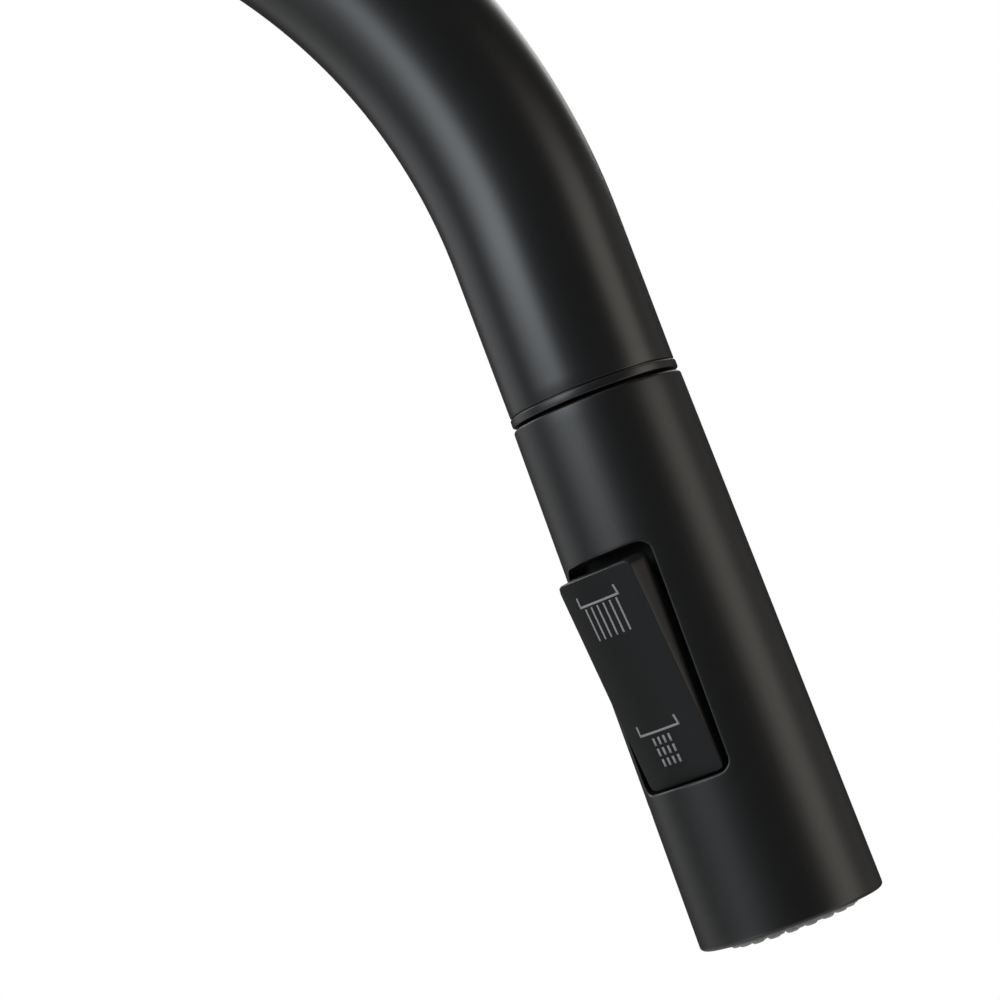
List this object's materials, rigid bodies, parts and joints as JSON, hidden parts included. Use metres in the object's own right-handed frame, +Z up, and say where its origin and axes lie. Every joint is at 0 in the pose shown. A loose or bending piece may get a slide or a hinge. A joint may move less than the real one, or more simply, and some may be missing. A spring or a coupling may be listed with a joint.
{
  "type": "pull-down kitchen faucet",
  "caption": "High-arc single-handle kitchen faucet in matte black with a pull-down spray head, a hose and a rocker that changes the spray.",
  "frame": {"origin": "centre of the base gasket's underside, where the faucet stands on the deck", "axes": "+Z up out of the deck, +X along the spout's reach, +Y towards the lever handle"},
  "size_m": [0.3156, 0.0855, 0.5293],
  "materials": {
    "matte_black": "satin, powder coated",
    "head_black": "satin",
    "rocker_black": "satin",
    "inner_black": "matte",
    "core_plastic": "matte",
    "nozzle_grey": "matte",
    "seal_rubber": "matte",
    "brass": "machined",
    "steel": "machined",
    "ceramic": "lapped",
    "magnet": "plated",
    "hose_braid": "braided nylon",
    "slip_white": "waxy"
  },
  "bodies": {
    "body": {"base_gasket": "seal_rubber", "base_flange": "matte_black", "body_column": "matte_black", "valve_manifold": "brass", "shank": "brass", "deck_rubber_washer": "seal_rubber", "deck_steel_washer": "steel", "mounting_nut": "brass", "jack_screws": "steel", "swivel_spigot": "brass", "spigot_o_rings": "seal_rubber", "swivel_slip_ring": "slip_white", "cartridge_seal": "seal_rubber", "cartridge_housing": "core_plastic", "fixed_disc": "ceramic", "cartridge_nut": "brass", "valve_cap": "matte_black"},
    "spout": {"spout_hub": "matte_black", "spout_retaining_screw": "steel", "spout_tube": "matte_black", "dock_ring": "matte_black", "dock_guide": "inner_black", "dock_magnet": "magnet", "hose": "hose_braid", "hose_tail_fitting": "brass"},
    "turret": {"cartridge_turret": "core_plastic", "stem_pin": "steel"},
    "lever": {"cartridge_stem": "brass", "handle_hub": "matte_black", "handle_lever": "matte_black", "handle_set_screw": "steel", "handle_index_plug": "inner_black"},
    "moving_disc": {"moving_disc": "ceramic"},
    "hose_end": {"hose_ferrule": "steel", "hose_nipple": "brass", "nipple_o_ring": "seal_rubber"},
    "spray_head": {"head_shell": "head_black", "docking_cone": "inner_black", "catch_ring": "steel", "inlet_nut": "brass", "waterway_body": "core_plastic", "inlet_filter": "steel", "check_valve_housing": "core_plastic", "check_valve_spring": "steel", "rocker_tray": "inner_black", "rocker_pin": "steel", "diffuser_plate": "core_plastic", "chamber_o_ring": "seal_rubber", "spray_face": "head_black", "nozzle_pad": "nozzle_grey", "aerator_housing": "inner_black", "aerator_insert": "core_plastic", "aerator_screen": "steel"},
    "rocker": {"mode_rocker": "rocker_black"},
    "diverter_spool": {"diverter_spool": "core_plastic", "spool_o_rings": "seal_rubber"},
    "check_valve_poppet": {"check_valve_poppet": "slip_white"}
  },
  "joints": [
    {"name": "spout_swivel", "type": "hinge", "parent": "body", "child": "spout", "pos_m": [0, 0, 0.131], "axis": [0, 0, 1], "range_deg": [-60, 60]},
    {"name": "handle_turn", "type": "hinge", "parent": "body", "child": "turret", "pos_m": [0, 0.0326, 0.07], "axis": [0, 1, 0], "range_deg": [-45, 45]},
    {"name": "handle_lift", "type": "hinge", "parent": "turret", "child": "lever", "pos_m": [0, 0.0326, 0.07], "axis": [-1, 0, 0], "range_deg": [0, 25]},
    {"name": "disc_slide", "type": "slide", "parent": "turret", "child": "moving_disc", "axis": [0, 0, 1], "range_m": [0, 0.0036]},
    {"name": "head_pull", "type": "slide", "parent": "spout", "child": "hose_end", "axis": [0.3551, 0, -0.9348], "range_m": [0, 0.45], "stiffness_N_per_m": 4, "springref_m": -1, "deforming": ["hose"]},
    {"name": "head_spin", "type": "hinge", "parent": "hose_end", "child": "spray_head", "pos_m": [0.24258, 0, 0.28432], "axis": [0.3551, 0, -0.9348], "continuous": true},
    {"name": "rocker_tip", "type": "hinge", "parent": "spray_head", "child": "rocker", "pos_m": [0.25103, -0.00534, 0.24806], "axis": [-0.6837, 0.682, -0.2597], "range_deg": [0, 13.4]},
    {"name": "diverter_slide", "type": "slide", "parent": "spray_head", "child": "diverter_spool", "axis": [0.3551, 0, -0.9348], "range_m": [0, 0.0016]},
    {"name": "check_valve_lift", "type": "slide", "parent": "spray_head", "child": "check_valve_poppet", "axis": [0.3551, 0, -0.9348], "range_m": [0, 0.0015], "stiffness_N_per_m": 60, "springref_m": -0.001, "deforming": ["check_valve_spring"]}
  ],
  "couplings": [
    {"joint": "disc_slide", "follows": "handle_lift", "m_per_rad": 0.007749},
    {"joint": "diverter_slide", "follows": "rocker_tip", "m_per_rad": 0.006286}
  ]
}
